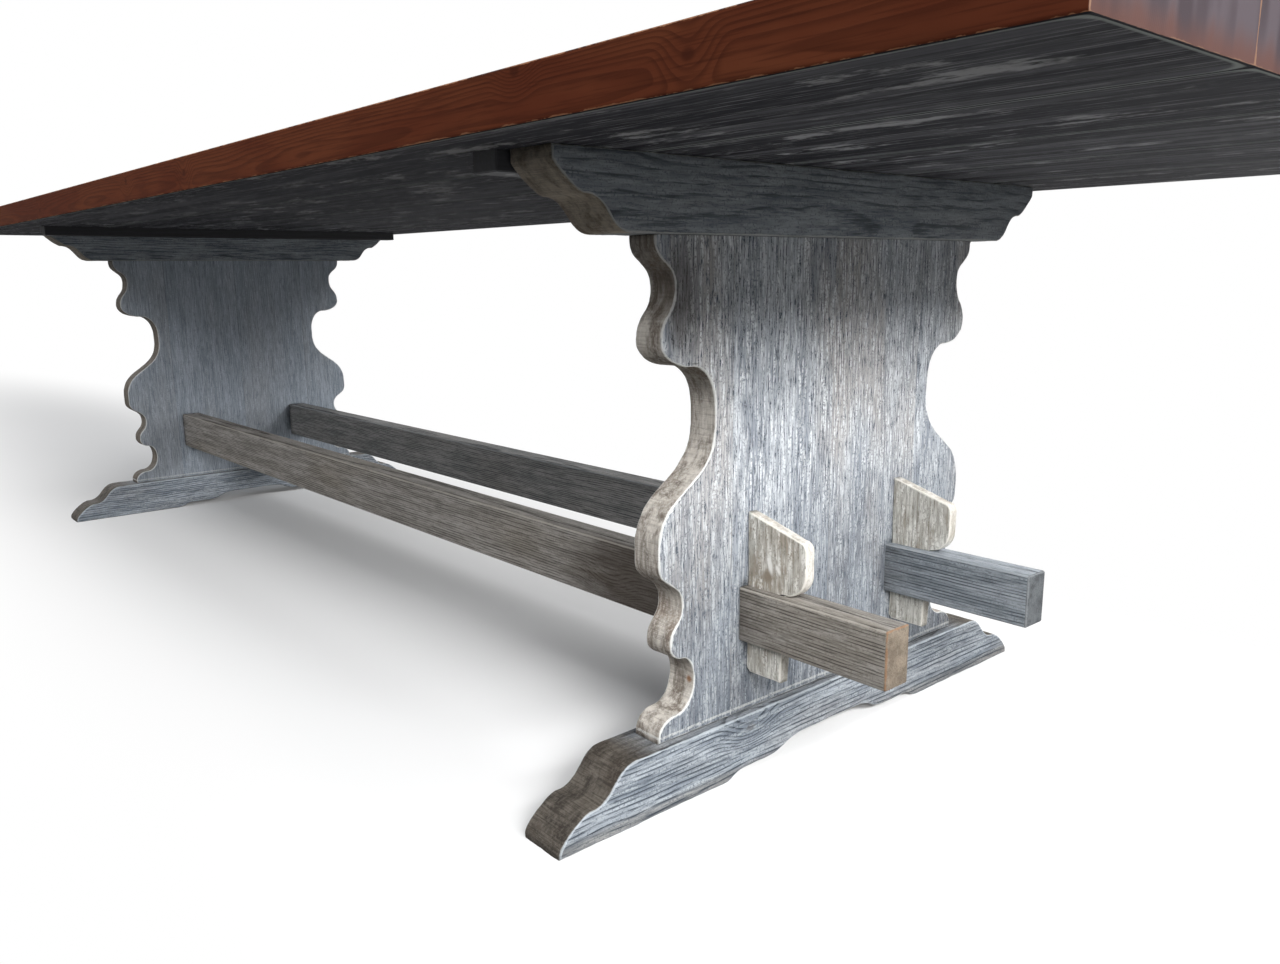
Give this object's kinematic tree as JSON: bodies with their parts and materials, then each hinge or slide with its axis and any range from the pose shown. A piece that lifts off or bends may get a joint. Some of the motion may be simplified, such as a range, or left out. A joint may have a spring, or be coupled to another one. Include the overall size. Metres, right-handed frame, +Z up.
{
  "type": "trestle dining table",
  "caption": "Long knock-down trestle dining table: plank top on scalloped slab trestles, held by stretchers with through tenons and tusk keys.",
  "frame": {"origin": "on the floor, at the middle of the table's length and width", "axes": "+X along the table towards the near trestle, +Y across the table towards the back stretcher, +Z up"},
  "size_m": [3.18, 1.05, 0.77],
  "materials": {
    "stained_pine": "dark red-brown stain under satin varnish, underside left dark and rough",
    "grey_wash": "brushed, grey-blue whitewash, worn pale along the arrises",
    "driftwood_wash": "brushed, thin grey wash over brown",
    "cream_wash": "cream whitewash over grey, white worn edges",
    "blackened_pine": "near-black stain, matt",
    "raw_pine": "unfinished, sawn",
    "screw_steel": "dull zinc"
  },
  "bodies": {
    "base": {"bearer_far": "grey_wash", "bearer_near": "grey_wash", "foot_far": "grey_wash", "foot_near": "grey_wash", "locating_pegs_far": "raw_pine", "locating_pegs_near": "raw_pine", "slab_far_board_1": "grey_wash", "slab_far_board_2": "grey_wash", "slab_far_board_3": "grey_wash", "slab_far_board_4": "grey_wash", "slab_far_tongues": "raw_pine", "slab_near_board_1": "grey_wash", "slab_near_board_2": "grey_wash", "slab_near_board_3": "grey_wash", "slab_near_board_4": "grey_wash", "slab_near_tongues": "raw_pine", "stretcher_back": "driftwood_wash", "stretcher_front": "driftwood_wash"},
    "top": {"batten_far": "blackened_pine", "batten_near": "blackened_pine", "batten_screws": "screw_steel", "top_board_1": "stained_pine", "top_board_2": "stained_pine", "top_board_3": "stained_pine", "top_board_4": "stained_pine", "top_board_5": "stained_pine", "top_tongues": "raw_pine"},
    "tusk_far_back_key": {"tusk_far_back": "cream_wash"},
    "tusk_far_front_key": {"tusk_far_front": "cream_wash"},
    "tusk_near_back_key": {"tusk_near_back": "cream_wash"},
    "tusk_near_front_key": {"tusk_near_front": "cream_wash"}
  },
  "joints": [
    {"name": "top_lift", "type": "slide", "parent": "base", "child": "top", "axis": [0, 0, 1], "range_m": [0, 0.1]},
    {"name": "tusk_far_back_draw", "type": "slide", "parent": "base", "child": "tusk_far_back_key", "axis": [0, 0, 1], "range_m": [0, 0.12]},
    {"name": "tusk_far_front_draw", "type": "slide", "parent": "base", "child": "tusk_far_front_key", "axis": [0, 0, 1], "range_m": [0, 0.12]},
    {"name": "tusk_near_back_draw", "type": "slide", "parent": "base", "child": "tusk_near_back_key", "axis": [0, 0, 1], "range_m": [0, 0.12]},
    {"name": "tusk_near_front_draw", "type": "slide", "parent": "base", "child": "tusk_near_front_key", "axis": [0, 0, 1], "range_m": [0, 0.12]}
  ]
}
